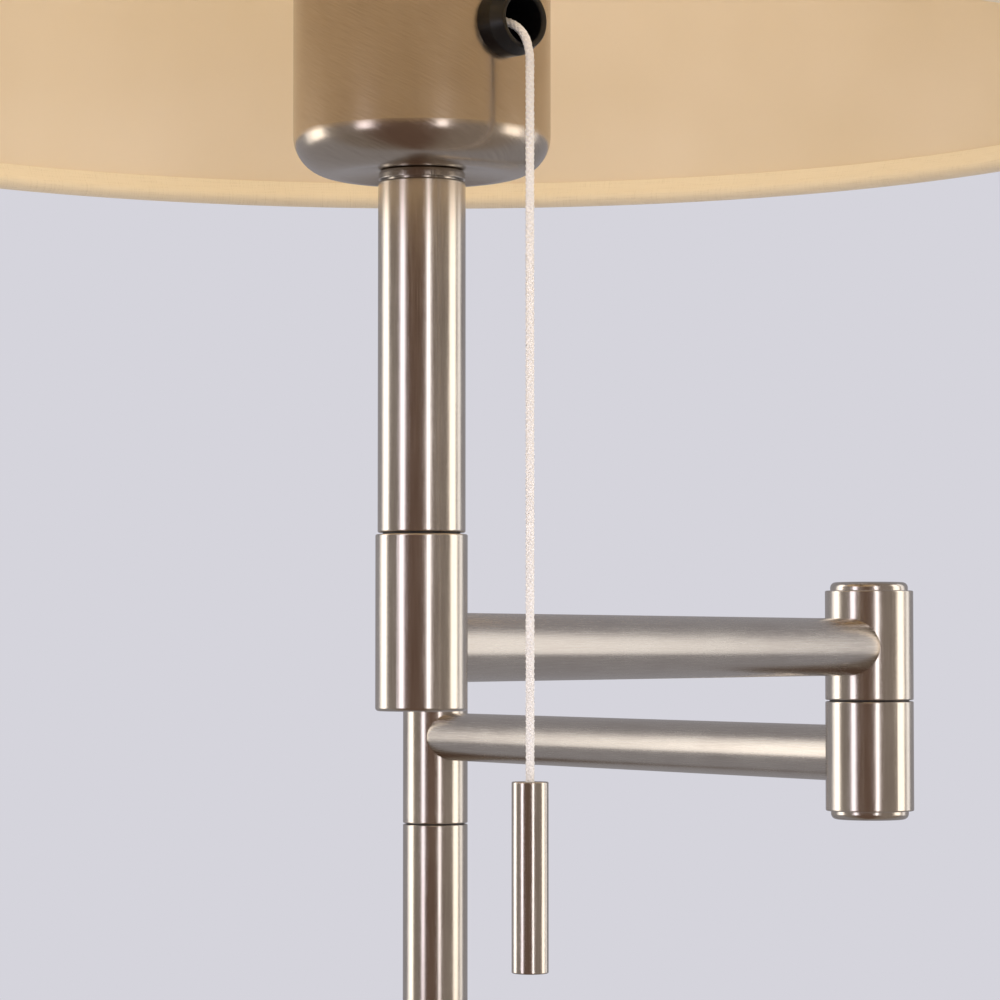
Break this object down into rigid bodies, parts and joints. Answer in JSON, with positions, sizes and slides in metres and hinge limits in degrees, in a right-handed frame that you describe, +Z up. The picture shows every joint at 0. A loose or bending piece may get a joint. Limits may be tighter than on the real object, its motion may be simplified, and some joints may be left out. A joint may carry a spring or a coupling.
{
  "type": "swing-arm floor lamp",
  "caption": "Slim floor lamp: round weighted base, pole, two jointed swing arms, and an upright socket cup with a pull cord under a wide round fabric shade.",
  "frame": {"origin": "centre of the base's underside, on the floor, on the pole's axis", "axes": "+Z up along the pole; the arms reach forward along -Y to the head; +X to the right"},
  "size_m": [0.3608, 0.721, 1.5121],
  "materials": {
    "brushed_nickel": "satin, finely brushed along each tube",
    "plated_steel": "zinc-plated steel",
    "cast_iron": "rough casting, thinly painted",
    "nylon": "plain nylon",
    "black_plastic": "moulded, satin",
    "wire_insulation": "smooth PVC",
    "felt": "pressed wool felt",
    "bulb_cap_metal": "bright rolled thread",
    "frosted_glass": "white, etched inside",
    "shade_fabric": "plain linen weave",
    "shade_liner": "smooth laminated backing",
    "trim_tape": "folded self-fabric tape",
    "cotton_cord": "braided cotton"
  },
  "bodies": {
    "stand": {"base_cover": "brushed_nickel", "base_weight": "cast_iron", "base_felt": "felt", "base_nipple": "plated_steel", "base_washer": "plated_steel", "base_nut": "plated_steel", "cord_inlet_bush": "black_plastic", "pole_foot_ring": "brushed_nickel", "pole_foot_plug": "plated_steel", "lower_pole_tube": "brushed_nickel", "middle_pole_tube": "brushed_nickel", "upper_pole_tube": "brushed_nickel", "pole_couplers": "plated_steel", "pole_top_plug": "plated_steel", "pole_swivel_pin": "plated_steel", "pole_friction_washer": "nylon", "pole_nut_and_washer": "plated_steel", "pole_wire": "wire_insulation"},
    "lower_arm": {"pole_knuckle": "brushed_nickel", "pole_knuckle_cap": "brushed_nickel", "lower_arm_tube": "brushed_nickel", "elbow_lower_knuckle": "brushed_nickel", "elbow_bottom_cap": "brushed_nickel", "elbow_swivel_pin": "plated_steel", "elbow_friction_washer": "nylon", "elbow_nut_and_washer": "plated_steel", "lower_arm_wire": "wire_insulation"},
    "upper_arm": {"elbow_upper_knuckle": "brushed_nickel", "elbow_top_cap": "brushed_nickel", "upper_arm_tube": "brushed_nickel", "head_hub": "brushed_nickel", "hub_bottom_plug": "brushed_nickel", "upper_arm_wire": "wire_insulation"},
    "head": {"head_swivel_pin": "plated_steel", "head_friction_washer": "nylon", "head_nut_and_washer": "plated_steel", "stem_foot_plug": "plated_steel", "stem_tube": "brushed_nickel", "stem_collar": "brushed_nickel", "cup_shell": "brushed_nickel", "cup_lid": "brushed_nickel", "cup_nipple": "plated_steel", "pull_switch": "black_plastic", "cord_bush": "black_plastic", "cord_bush_nut": "black_plastic", "lampholder": "black_plastic", "harp_saddle": "plated_steel", "harp": "plated_steel", "bulb_cap": "bulb_cap_metal", "bulb_glass": "frosted_glass", "shade_fabric": "shade_fabric", "shade_liner": "shade_liner", "shade_trims": "trim_tape", "shade_bottom_ring": "plated_steel", "shade_spider": "plated_steel", "finial": "brushed_nickel", "head_wire": "wire_insulation"},
    "pull": {"pull_cord": "cotton_cord", "pull_weight": "brushed_nickel"}
  },
  "joints": [
    {"name": "pole_swivel", "type": "hinge", "parent": "stand", "child": "lower_arm", "pos_m": [0, 0, 1.1006], "axis": [0, 0, 1], "range_deg": [-175, 175]},
    {"name": "elbow_swivel", "type": "hinge", "parent": "lower_arm", "child": "upper_arm", "pos_m": [0.12696, -0.19775, 1.1452], "axis": [0, 0, 1], "range_deg": [-115, 225]},
    {"name": "head_swivel", "type": "hinge", "parent": "upper_arm", "child": "head", "pos_m": [0.00417, -0.39813, 1.1863], "axis": [0, 0, 1], "range_deg": [-200, 75]},
    {"name": "pull_slide", "type": "slide", "parent": "head", "child": "pull", "axis": [0, 0, -1], "range_m": [0, 0.008], "stiffness_N_per_m": 1500, "springref_m": -0.001, "deforming": ["pull_cord"]}
  ]
}
